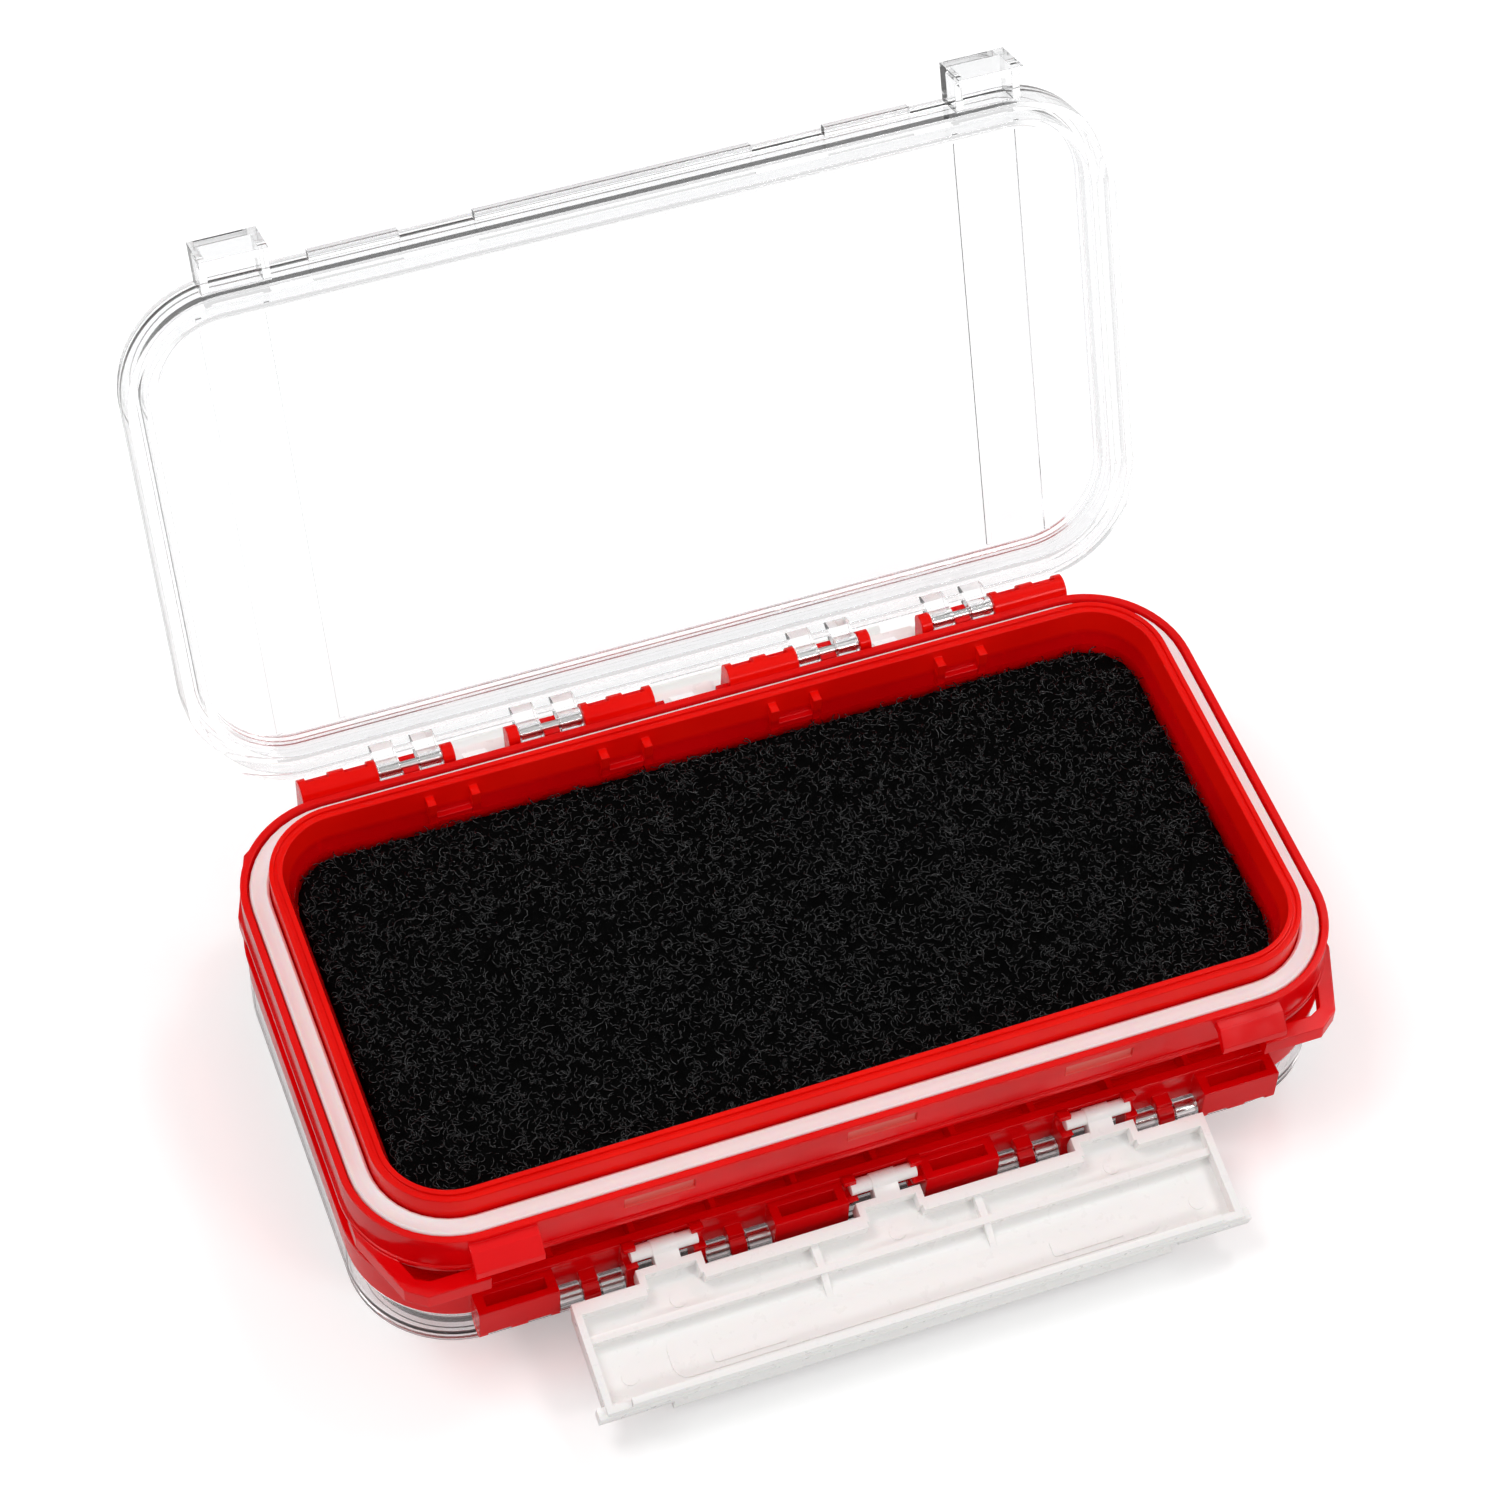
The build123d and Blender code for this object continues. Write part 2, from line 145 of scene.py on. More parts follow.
class Finish:
    """A material under construction, with short calls for the nodes used here."""

    def __init__(self, name):
        self.material = bpy.data.materials.new(name)
        self.material.use_nodes = True
        self.tree = self.material.node_tree
        self.shader = self.tree.nodes["Principled BSDF"]
        self.place = self.add("ShaderNodeTexCoord").outputs["Object"]

    def add(self, kind, **settings):
        node = self.tree.nodes.new(kind)
        for key, value in settings.items():
            setattr(node, key, value)
        return node

    def link(self, source, target):
        self.tree.links.new(source, target)

    def noise(self, scale, detail, stretch=None):
        """Noise between about 0.3 and 0.7, with scale in cycles per metre."""
        node = self.add("ShaderNodeTexNoise")
        node.inputs["Scale"].default_value = scale
        node.inputs["Detail"].default_value = detail
        place = self.place
        if stretch:
            stretched = self.add("ShaderNodeMapping")
            stretched.inputs["Scale"].default_value = stretch
            self.link(place, stretched.inputs["Vector"])
            place = stretched.outputs["Vector"]
        self.link(place, node.inputs["Vector"])
        return node.outputs["Fac"]

    def span(self, value, low, high, to_low, to_high):
        """Map value from low..high to to_low..to_high, clamped."""
        node = self.add("ShaderNodeMapRange")
        limits = {"From Min": low, "From Max": high, "To Min": to_low, "To Max": to_high}
        for key, number in limits.items():
            node.inputs[key].default_value = number
        self.link(value, node.inputs["Value"])
        return node.outputs["Result"]

    def calc(self, kind, one, two):
        """One step of arithmetic. Each value is a number or a socket."""
        node = self.add("ShaderNodeMath", operation=kind)
        for socket, value in zip(node.inputs, (one, two)):
            if isinstance(value, (int, float)):
                socket.default_value = value
            else:
                self.link(value, socket)
        return node.outputs[0]

    def mix(self, share, one, two):
        """Colour between one and two. Each is a colour or a socket."""
        node = self.add("ShaderNodeMix", data_type="RGBA")
        self.link(share, node.inputs["Factor"])
        for index, value in ((COLOUR_A, one), (COLOUR_B, two)):
            if isinstance(value, tuple):
                node.inputs[index].default_value = (*value, 1.0)
            else:
                self.link(value, node.inputs[index])
        return node.outputs[COLOUR_OUT]

    def axis(self, name):
        """X, Y or Z of the place on the object."""
        node = self.add("ShaderNodeSeparateXYZ")
        self.link(self.place, node.inputs[0])
        return node.outputs[name]

    def colour(self, value):
        self.link(value, self.shader.inputs["Base Color"])

    def rough(self, value, low, high):
        """Roughness between low and high, from noise."""
        self.link(self.span(value, 0.3, 0.7, low, high), self.shader.inputs["Roughness"])

    def relief(self, value, depth, edge=0.0):
        """Bump of that depth in metres, over edges rounded by edge metres."""
        bump = self.add("ShaderNodeBump")
        bump.inputs["Distance"].default_value = depth
        bump.inputs["Strength"].default_value = 1.0
        self.link(value, bump.inputs["Height"])
        if edge:
            round_edge = self.add("ShaderNodeBevel", samples=8)
            round_edge.inputs["Radius"].default_value = edge
            self.link(round_edge.outputs["Normal"], bump.inputs["Normal"])
        self.link(bump.outputs["Normal"], self.shader.inputs["Normal"])

    def set(self, **values):
        """Values that are the same all over the surface, on the shader's own sockets."""
        for key, value in values.items():
            self.shader.inputs[key.replace("_", " ")].default_value = value

    def pass_lamps(self, tint):
        """Let rays from lamps through, tinted, so that thin plastic casts a pale shadow."""
        clear = self.add("ShaderNodeBsdfTransparent")
        clear.inputs["Color"].default_value = (*tint, 1.0)
        both = self.add("ShaderNodeMixShader")
        self.link(ray_share(self.tree, "Shadow"), both.inputs[0])
        self.link(self.shader.outputs[0], both.inputs[1])
        self.link(clear.outputs[0], both.inputs[2])
        self.link(both.outputs[0], self.tree.nodes["Material Output"].inputs["Surface"])

    def done(self):
        print("finish", self.material.name, "of", len(self.tree.nodes), "nodes")
        return self.material


# %% [markdown]
# ## Floor and light
# The object stands on white paper. A broad lamp overhead to the left, a small one to
# the right and one in front give soft shadows, and the white surroundings do the rest.
# The clear lid shows almost nothing but its surroundings. They could be lit until they
# look white, but then the object would be too bright. So rays that the camera, gloss
# or clear plastic send out see pure white, while the light that falls on the object
# stays at a plain level.

# %% White paper for the floor
FLOOR_SIZE, FLOOR_DROP = 6.0, 0.2 * MM
NEAR, FAR = 0.2, 0.9  # distances from the middle of the floor
NEAR_LIFT, FAR_LIFT = 0.30, 0.44  # more lift far away, where the lamps don't reach


def white_paper():
    """Paper that keeps shadows and looks white to the camera, also through clear plastic."""
    f = Finish("white_paper")
    f.set(Base_Color=(0.86, 0.86, 0.86, 1), Roughness=0.9, Specular_IOR_Level=0.1)
    distance = f.add("ShaderNodeVectorMath", operation="LENGTH")
    f.link(f.place, distance.inputs[0])
    lift = f.span(distance.outputs["Value"], NEAR, FAR, NEAR_LIFT, FAR_LIFT)
    seen = f.calc("MULTIPLY", ray_share(f.tree, "Camera", "Transmission"), lift)
    f.set(Emission_Color=(1, 1, 1, 1))
    f.link(seen, f.shader.inputs["Emission Strength"])
    return f.done()


bpy.ops.mesh.primitive_plane_add(size=FLOOR_SIZE, location=(0, 0, -FLOOR_DROP))
floor = bpy.context.object
floor.name = "floor"
floor.data.materials.append(white_paper())


# %% White surroundings
WORLD_LIGHT = 0.70  # what falls on the object, where 1 is what the camera sees


def make_world():
    world = bpy.data.worlds.new("white_room")
    bpy.context.scene.world = world
    world.use_nodes = True
    tree = world.node_tree
    tree.nodes.clear()
    strength = tree.nodes.new("ShaderNodeMapRange")
    strength.inputs["To Min"].default_value = WORLD_LIGHT
    strength.inputs["To Max"].default_value = 1.0
    tree.links.new(ray_share(tree, "Camera", "Transmission", "Glossy"), strength.inputs["Value"])
    shine = tree.nodes.new("ShaderNodeBackground")
    tree.links.new(strength.outputs["Result"], shine.inputs["Strength"])
    output = tree.nodes.new("ShaderNodeOutputWorld")
    tree.links.new(shine.outputs[0], output.inputs["Surface"])
    return world


print("surroundings", make_world().name)

# %% Three soft lamps
LIT_AT = Vector((0, 0, 0.02))
LAMPS = {  # where each stands, the side of its square, and its power in watts
    "softbox_left": ((-0.45, 0.20, 1.05), 0.42, 3.2),
    "softbox_right": ((0.55, 0.35, 0.95), 0.22, 1.6),
    "softbox_front": ((0.45, -0.9, 0.75), 0.25, 2.4),
}
for name, (place, side, watts) in LAMPS.items():
    bpy.ops.object.light_add(type="AREA", location=place)
    lamp = bpy.context.object
    lamp.name = name
    lamp.data.shape = "SQUARE"
    lamp.data.size = side
    lamp.data.energy = watts
    lamp.rotation_mode = "QUATERNION"
    lamp.rotation_quaternion = (Vector(place) - LIT_AT).to_track_quat("Z", "Y")
    print("lamp", name, "of", watts, "W")
bpy.context.scene.view_settings.view_transform = "Standard"

# %% [markdown]
# ## Red translucent plastic
# The trays are injection moulded from red polystyrene or ABS that lets some light
# through. The thick rim looks full orange-red and the thin walls below it look deeper,
# like boiled sweets. Three thin windows in the skirt look pale where light shines
# through them, and that light is painted into their colour as a pale pink. A volume
# inside the plastic would be truer, but it is slow and full of noise. A mix of
# transmission and plain colour, chosen by height, gives nearly the same look.

# %% Painted light in the thin windows of the red plastic
WINDOW_HALF = 6.5 * MM


def skirt_windows(f, height):
    """1 in the three thin windows of the skirt on the latch's side, 0 elsewhere."""
    x, y = f.axis("X"), f.axis("Y")
    share = None
    for centre in ARMS_AT:
        away = f.calc("ABSOLUTE", f.calc("SUBTRACT", x, centre), 0)
        one = f.span(away, WINDOW_HALF - 0.2 * MM, WINDOW_HALF + 0.1 * MM, 1.0, 0.0)
        share = one if share is None else f.calc("MAXIMUM", share, one)
    outward = f.calc("ABSOLUTE", y, 0)
    latch_side = f.calc("MULTIPLY", y, f.calc("SUBTRACT", f.axis("Z"), PARTING))
    for value, start, end, before, after in (
            (outward, 48.2 * MM, 48.4 * MM, 0.0, 1.0),  # only on the skirt's outer face
            (height, 7.7 * MM, 7.9 * MM, 0.0, 1.0),  # from this height over the parting plane
            (height, 10.7 * MM, 10.9 * MM, 1.0, 0.0),  # to this one
            (latch_side, -0.0001, 0.0, 1.0, 0.0)):  # below 0 on the side of that half's latch
        share = f.calc("MULTIPLY", share, f.span(value, start, end, before, after))
    return share


# %% Red plastic finish
DEEP_RED = ((0.80, 0.0, 0.002), (0.93, 0.001, 0.004))
FULL_RED = ((0.86, 0.003, 0.001), (0.95, 0.006, 0.002))
PAINTED_WINDOW_LIGHT, RED_SHADOW = (0.92, 0.17, 0.14), (0.80, 0.22, 0.20)
RIM_START, RIM_FULL = 11.5 * MM, 12.6 * MM  # heights over the parting plane


def red_plastic():
    f = Finish("red_plastic")
    height = f.calc("ABSOLUTE", f.calc("SUBTRACT", f.axis("Z"), PARTING), 0)
    rim = f.span(height, RIM_START, RIM_FULL, 0.0, 1.0)
    cloud = f.span(f.noise(scale=45.0, detail=2.0), 0.35, 0.65, 0, 1)
    body = f.mix(rim, f.mix(cloud, *DEEP_RED), f.mix(cloud, *FULL_RED))
    # the windows are mixed to a pale pink: painted light shining through the thin plastic
    f.colour(f.mix(skirt_windows(f, height), body, PAINTED_WINDOW_LIGHT))
    f.rough(f.noise(scale=260.0, detail=4.0), 0.10, 0.20)
    f.link(f.span(rim, 0, 1, 0.34, 0.10), f.shader.inputs["Transmission Weight"])
    f.set(IOR=1.5, Specular_IOR_Level=0.05)
    f.relief(f.noise(scale=900.0, detail=3.0), 0.01 * MM, edge=0.35 * MM)
    f.pass_lamps(RED_SHADOW)
    return f.done()


# %% [markdown]
# ## Clear, white and steel finishes
# The lid is clear polystyrene, polished by the mould. A Glass shader would do, but its
# shadow is dark, so here rays from the lamps pass through. The latch is a satin white
# plastic with a warm tint, under whose skin a little light scatters. It could be one
# plain white, but slow clouds of tint and gloss keep it from looking like paper. The
# pins are drawn steel wire. Their fine scratches run along them, so the noise is drawn
# out along the pin, which is simpler than scratches made one by one.

# %% Clear plastic finish
CLEAR = ((0.965, 0.967, 0.970), (0.945, 0.948, 0.953))
CLEAR_SHADOW = (0.96, 0.965, 0.97)


def clear_plastic():
    f = Finish("clear_plastic")
    f.colour(f.mix(f.noise(scale=70.0, detail=2.0), *CLEAR))
    f.rough(f.noise(scale=300.0, detail=3.0), 0.01, 0.03)
    f.set(Transmission_Weight=1.0, IOR=1.42)
    f.relief(f.noise(scale=120.0, detail=2.0), 0.01 * MM, edge=0.25 * MM)
    f.pass_lamps(CLEAR_SHADOW)
    return f.done()


# %% White plastic finish
WARM_WHITE = ((0.925, 0.912, 0.893), (0.965, 0.957, 0.943))


def white_plastic():
    f = Finish("white_plastic")
    f.colour(f.mix(f.noise(scale=60.0, detail=3.0), *WARM_WHITE))
    f.rough(f.noise(scale=500.0, detail=4.0), 0.24, 0.42)
    f.set(Subsurface_Weight=0.06, Subsurface_Scale=MM, IOR=1.5)
    f.relief(f.noise(scale=700.0, detail=3.0), 0.008 * MM)
    return f.done()


# %% Steel wire finish
STEEL = ((0.50, 0.49, 0.48), (0.72, 0.71, 0.70))


def pin_steel():
    f = Finish("pin_steel")
    scratches = f.noise(scale=900.0, detail=4.0, stretch=(0.04, 1.0, 1.0))
    f.colour(f.mix(scratches, *STEEL))
    f.rough(scratches, 0.16, 0.34)
    f.set(Metallic=1.0)
    f.relief(scratches, 0.02 * MM)
    return f.done()


# %% Give the hard parts their finishes
FINISHES = {
    "red_plastic": red_plastic(),
    "clear_plastic": clear_plastic(),
    "white_plastic": white_plastic(),
    "pin_steel": pin_steel(),
}
finished = []
for row in frame["record"]["subparts"]:
    if row["material_slot"] in FINISHES:
        finished.append(row["node"])
        mesh = frame["nodes"][row["node"]].data
        mesh.materials.clear()
        mesh.materials.append(FINISHES[row["material_slot"]])
        mesh.polygons.foreach_set("material_index", [0] * len(mesh.polygons))
print("finished", len(finished), "hard CAD nodes")

# %% [markdown]
# ## The latches
# Each latch is a white moulding: a shallow tray with a wall all round, ribs inside, a
# hook along its free edge, and three necks whose arms snap into the hinge row. It
# could be cut out of blocks, but a moulding is easier to draw as its maker thinks of
# it: the outline first, then one inset and one push for the hollow. One latch is made
# as it hangs closed on the upper half, and two copies of it are turned into place.

# %% Sizes of the latch, in the frame of the upper half
AXIS_Y, AXIS_Z = 51.2 * MM, 5.0 * MM  # the axis that the arms turn about
INNER_Y, OUTER_Y = AXIS_Y + 0.2 * MM, AXIS_Y + 5.0 * MM  # brim of the wall, outer face
SKIN, WALL = 1.6 * MM, 1.3 * MM
FLOOR_Y = OUTER_Y - SKIN  # floor of the hollow
LATCH_HALF, NECK_HALF = 60.04 * MM, 6.1 * MM
FREE_Z, HOOK_Z = -20.9 * MM, -19.7 * MM  # free edge, upper side of the hook
PLATE_Z, NECK_Z = AXIS_Z - 5.4 * MM, AXIS_Z - 2.9 * MM  # edges at the hinge row
RIB_Z = AXIS_Z - 12.3 * MM  # the long rib
BITE = 0.2 * MM  # how far a piece reaches into what it is joined to
print("latch", round(2 * LATCH_HALF / MM, 1), "mm long and",
      round((AXIS_Z - FREE_Z) / MM, 1), "mm from its axis to its free edge")


# %% Helpers for picking pieces, faces and edges
def deselect():
    if bpy.context.object and bpy.context.object.mode == "EDIT":
        bpy.ops.object.mode_set(mode="OBJECT")
    bpy.ops.object.select_all(action="DESELECT")


def take(piece):
    """Select this piece alone and make it the active one."""
    deselect()
    bpy.context.view_layer.objects.active = piece
    piece.select_set(True)


def pick_nothing(piece, kind):
    """Take the piece and deselect all its faces or edges."""
    take(piece)
    bpy.ops.object.mode_set(mode="EDIT")
    bpy.ops.mesh.select_mode(type=kind)
    bpy.ops.mesh.select_all(action="DESELECT")
    bpy.ops.object.mode_set(mode="OBJECT")


def pick_faces(piece, test):
    """Select the faces that pass the test, and enter edit mode."""
    pick_nothing(piece, "FACE")
    for face in piece.data.polygons:
        face.select = test(face)
    bpy.ops.object.mode_set(mode="EDIT")


def pick_edges(piece, test):
    """Select the edges whose two ends pass the test, and enter edit mode."""
    pick_nothing(piece, "EDGE")
    for edge in piece.data.edges:
        edge.select = test(*(piece.data.vertices[i].co for i in edge.vertices))
    bpy.ops.object.mode_set(mode="EDIT")


# %% Helpers for solid modelling
def settle():
    """Move the place, turn and scale of the active piece into its mesh."""
    bpy.ops.object.transform_apply(location=True, rotation=True, scale=True)
    return bpy.context.object


def add_block(x0, x1, y0, y1, z0, z1):
    """Cube primitive, stretched to the given limits."""
    deselect()
    bpy.ops.mesh.primitive_cube_add(
        size=1.0, location=((x0 + x1) / 2, (y0 + y1) / 2, (z0 + z1) / 2),
        scale=(x1 - x0, y1 - y0, z1 - z0))
    return settle()


def add_bar(x0, x1, corners):
    """Block along X whose section has these (y, z) corners, the lowest y and z first."""
    bar = add_block(x0, x1, -MM, MM, -MM, MM)
    order = {(False, False): 0, (True, False): 1, (True, True): 2, (False, True): 3}
    for vertex in bar.data.vertices:
        vertex.co.yz = corners[order[vertex.co.y > 0, vertex.co.z > 0]]
    return bar


def add_rod(x0, x1, y, z, radius, sides=32):
    """Cylinder primitive along X."""
    deselect()
    bpy.ops.mesh.primitive_cylinder_add(
        vertices=sides, radius=radius, depth=x1 - x0,
        location=((x0 + x1) / 2, y, z), rotation=(0, math.pi / 2, 0))
    return settle()


def combine(piece, tool, way="UNION"):
    """Add the tool to the piece, or take it away, and remove the tool."""
    step = piece.modifiers.new("combine", "BOOLEAN")
    step.operation, step.object, step.solver = way, tool, "EXACT"
    take(piece)
    bpy.ops.object.modifier_apply(modifier=step.name)
    bpy.data.objects.remove(tool)


def draw_out(x, y, z):
    """Extrude what is selected by this much."""
    bpy.ops.mesh.extrude_region_move(TRANSFORM_OT_translate={"value": (x, y, z)})


# %% The tray of the latch: outline, necks and hollow
def latch_tray():
    tray = add_block(-LATCH_HALF, LATCH_HALF, INNER_Y, OUTER_Y, FREE_Z, PLATE_Z)
    bpy.ops.object.mode_set(mode="EDIT")
    for x in ARMS_AT:
        for side in (x - NECK_HALF, x + NECK_HALF):
            bpy.ops.mesh.select_all(action="SELECT")
            bpy.ops.mesh.bisect(plane_co=(side, 0, 0), plane_no=(1, 0, 0))
    pick_faces(tray, lambda face: face.normal.z > 0.9
               and min(abs(face.center.x - x) for x in ARMS_AT) < MM)
    draw_out(0, 0, NECK_Z - PLATE_Z)
    pick_faces(tray, lambda face: face.normal.y < -0.9)
    bpy.ops.mesh.inset(thickness=WALL, use_even_offset=True)
    draw_out(0, FLOOR_Y - INNER_Y, 0)
    bpy.ops.object.mode_set(mode="OBJECT")
    return tray


tray = latch_tray()
print("latch tray", len(tray.data.polygons), "faces")

# %% [markdown]
# Ribs stiffen the thin plate: a long one, two across it and a gusset below each of
# these. The wall at the hinge row is thicker between the necks. There it is hollowed
# outside, because it swings past the round red blocks that hold the pins of the lid.
# All this could be extruded out of the floor, but a Boolean joins a plain bar to it
# in one step and leaves the mesh closed.

# %% Ribs and thick wall
RIB_Y, RIB_HALF, RIB_FOOT = INNER_Y + 1.0 * MM, 0.7 * MM, FLOOR_Y + 0.3 * MM
CROSS_RIBS_AT = (-15.5 * MM, 15.5 * MM)
GUSSET_HALF, GUSSET_LOW, GUSSET_HIGH = 0.6 * MM, RIB_Z - 5.0 * MM, RIB_Z - 0.3 * MM
THICK_LOW, THICK_HIGH = PLATE_Z - 2.3 * MM, PLATE_Z - 0.6 * MM
OPEN_TURN = 103.5  # degrees from closed to wide open
PIN_Y, PIN_Z = 0.4 * MM, 6.6 * MM  # the lid's pin, from the axis of the latch
BLOCK_RADIUS, BLOCK_GAP = 5.0 * MM, 7.4 * MM  # round that pin, and from each arm


def stretches(gap, end):
    """Stretches along X between and beside the arms, at that gap from each arm."""
    arm = ARMS_AT[-1]
    for x0, x1 in ((gap, arm - gap), (arm + gap, end)):
        yield x0, x1
        yield -x1, -x0


def latch_ribs(body):
    combine(body, add_block(-LATCH_HALF + MM, LATCH_HALF - MM, RIB_Y, RIB_FOOT,
                            RIB_Z - RIB_HALF, RIB_Z + RIB_HALF))
    for x in CROSS_RIBS_AT:
        combine(body, add_block(x - RIB_HALF, x + RIB_HALF, RIB_Y, RIB_FOOT,
                                RIB_Z + 0.3 * MM, PLATE_Z - MM))
        combine(body, add_bar(x - GUSSET_HALF, x + GUSSET_HALF, (
            (FLOOR_Y - 0.1 * MM, GUSSET_LOW), (FLOOR_Y + BITE, GUSSET_LOW),
            (FLOOR_Y + BITE, GUSSET_HIGH), (RIB_Y + 0.1 * MM, GUSSET_HIGH))))


def latch_thick_wall(body):
    for x0, x1 in stretches(NECK_HALF - 0.6 * WALL, LATCH_HALF - 0.4 * MM):
        combine(body, add_block(x0, x1, INNER_Y, FLOOR_Y + BITE, THICK_LOW, THICK_HIGH))
    turn = math.radians(OPEN_TURN)
    y = AXIS_Y + PIN_Y * math.cos(turn) + PIN_Z * math.sin(turn)
    z = AXIS_Z - PIN_Y * math.sin(turn) + PIN_Z * math.cos(turn)
    for x0, x1 in stretches(BLOCK_GAP, LATCH_HALF + MM):
        combine(body, add_rod(x0, x1, y, z, BLOCK_RADIUS, sides=48), "DIFFERENCE")


latch_ribs(tray)
latch_thick_wall(tray)
print("latch with ribs", len(tray.data.polygons), "faces")

# %% [markdown]
# The free edge has a hook inside, a bar whose ends stand out, and outside it, past a
# groove, a flared lip with a bead for a fingertip. Each neck has a short arm with an
# eye, and round stubs that turn in the sockets of the red shell. The lip could be
# bent out of the wall, but a slanted bar gives its two faces their exact places.

# %% Hook, bar, finger lip and arms
HOOK_HALF, HOOK_TIP_Y = LATCH_HALF - 4.5 * MM, 49.7 * MM
BAR_HALF = LATCH_HALF + 1.5 * MM
LIP_HALF, LIP_ROOT_Y, LIP_TIP_Y = 47.2 * MM, OUTER_Y - 0.6 * MM, OUTER_Y + 3.4 * MM
GROOVE_HALF, GROOVE_Y = LIP_HALF + 0.6 * MM, OUTER_Y - 2.1 * MM
BEAD_Z, BEAD_RADIUS = FREE_Z + 0.35 * MM, 0.75 * MM
ARM_HALF = 2.3 * MM
EYE_HALF, EYE_RADIUS = 2.35 * MM, 1.6 * MM
STUB_HALF, STUB_RADIUS = 6.2 * MM, 1.4 * MM


def latch_free_edge(body):
    combine(body, add_block(-HOOK_HALF, HOOK_HALF, HOOK_TIP_Y, INNER_Y + 0.6 * MM,
                            FREE_Z, HOOK_Z))
    combine(body, add_block(-BAR_HALF, BAR_HALF, INNER_Y + 1.1 * MM, OUTER_Y - 0.6 * MM,
                            FREE_Z - 0.4 * MM, FREE_Z + 1.8 * MM))
    combine(body, add_block(-GROOVE_HALF, GROOVE_HALF, GROOVE_Y, OUTER_Y + MM,
                            FREE_Z - MM, FREE_Z + 0.8 * MM), "DIFFERENCE")
    combine(body, add_bar(-LIP_HALF, LIP_HALF, (
        (LIP_ROOT_Y, FREE_Z + 1.2 * MM), (LIP_TIP_Y, FREE_Z - 0.3 * MM),
        (LIP_TIP_Y, FREE_Z + 1.0 * MM), (LIP_ROOT_Y, FREE_Z + 2.6 * MM))))
    combine(body, add_rod(-LIP_HALF - BITE, LIP_HALF + BITE, LIP_TIP_Y, BEAD_Z, BEAD_RADIUS,
                          sides=20))


def latch_arms(body):
    for x in ARMS_AT:
        combine(body, add_bar(x - ARM_HALF, x + ARM_HALF, (
            (INNER_Y + BITE, NECK_Z - WALL), (OUTER_Y - 0.8 * MM, NECK_Z - 0.8 * MM),
            (AXIS_Y + 2.0 * MM, AXIS_Z + 0.4 * MM), (AXIS_Y - 1.2 * MM, AXIS_Z))))
        for half, radius in ((EYE_HALF, EYE_RADIUS), (STUB_HALF, STUB_RADIUS)):
            combine(body, add_rod(x - half, x + half, AXIS_Y, AXIS_Z, radius))


latch_free_edge(tray)
latch_arms(tray)
print("latch with edges and arms", len(tray.data.polygons), "faces")

# %% [markdown]
# A moulding has no sharp edges, so every edge is rounded by 0.2 mm. Only the shading
# could be rounded, as on the CAD parts, but this mesh is closed, so a Bevel modifier
# can round it for good. The Booleans leave spare points and split faces, and those
# would spoil the round edges, so they are cleared away first. A Boolean also numbers
# its points in a new way on each run, and what is cleared away goes by these numbers.
# So the points and faces are put in the order of their places, which never changes.


# %% Put a mesh in order
def put_in_order(piece):
    """Number the points and faces of a piece by their places."""
    old = piece.data
    order = sorted(range(len(old.vertices)), key=lambda i: tuple(old.vertices[i].co))
    number = {i: n for n, i in enumerate(order)}
    faces = []
    for face in old.polygons:
        loop = [number[i] for i in face.vertices]
        start = loop.index(min(loop))
        faces.append(loop[start:] + loop[:start])
    piece.data = bpy.data.meshes.new(old.name)
    piece.data.from_pydata([tuple(old.vertices[i].co) for i in order], [], sorted(faces))
    bpy.data.meshes.remove(old)


# %% Round the edges of the moulding
EDGE_RADIUS, SHARP = 0.2 * MM, math.radians(35)
put_in_order(tray)
take(tray)
bpy.ops.object.mode_set(mode="EDIT")
bpy.ops.mesh.select_all(action="SELECT")
bpy.ops.mesh.remove_doubles(threshold=0.01 * MM)
bpy.ops.mesh.dissolve_limited(angle_limit=math.radians(1))
bpy.ops.mesh.normals_make_consistent(inside=False)
bpy.ops.object.mode_set(mode="OBJECT")
soft = tray.modifiers.new("soft_edges", "BEVEL")
soft.width, soft.segments = EDGE_RADIUS, 2
soft.limit_method, soft.angle_limit = "ANGLE", SHARP
bpy.ops.object.modifier_apply(modifier=soft.name)
print("latch with round edges", len(tray.data.polygons), "faces")

# %% [markdown]
# The floor of the hollow has the marks of its mould: a low raised panel, two blank
# fields on it, and round marks where pins pushed the moulding out. They could be a
# relief in the finish, but real shapes also show in the mesh. They are joined after
# the rounding, because they are lower than its radius.

# %% Marks of the mould on the floor of the hollow
PANEL_HALF, PANEL_LOW, PANEL_HIGH = 46.2 * MM, HOOK_Z + 1.6 * MM, RIB_Z - 3.0 * MM
PANEL_HEIGHT, PANEL_CORNER = 0.22 * MM, 2.6 * MM
FIELD_HALF, FIELD_LOW, FIELD_HIGH = 6.8 * MM, HOOK_Z + 2.6 * MM, HOOK_Z + 5.6 * MM
FIELD_HEIGHT, FIELD_CORNER = 0.42 * MM, 0.6 * MM
FIELDS_AT = (-32.0 * MM, 32.0 * MM)
PIN_MARKS = [(-53.8 * MM, -15.0 * MM), (53.8 * MM, -15.0 * MM)]
PIN_MARKS += [(x, AXIS_Z - 9.2 * MM) for x in ARMS_AT]


def raised(x, half, z0, z1, height, corner):
    """Low field on the floor of the hollow, with round corners."""
    mark = add_block(x - half, x + half, FLOOR_Y - height, FLOOR_Y + BITE, z0, z1)
    pick_edges(mark, lambda a, b: abs(a.y - b.y) > 0.9 * (a - b).length)
    bpy.ops.mesh.bevel(offset=corner, segments=5)
    bpy.ops.object.mode_set(mode="OBJECT")
    return mark


def pin_mark(x, z):
    """Round mark where a pin pushed the moulding out of the mould."""
    deselect()
    bpy.ops.mesh.primitive_cylinder_add(vertices=28, radius=1.5 * MM, depth=2 * BITE,
                                        location=(x, FLOOR_Y, z), rotation=(math.pi / 2, 0, 0))
    return settle()


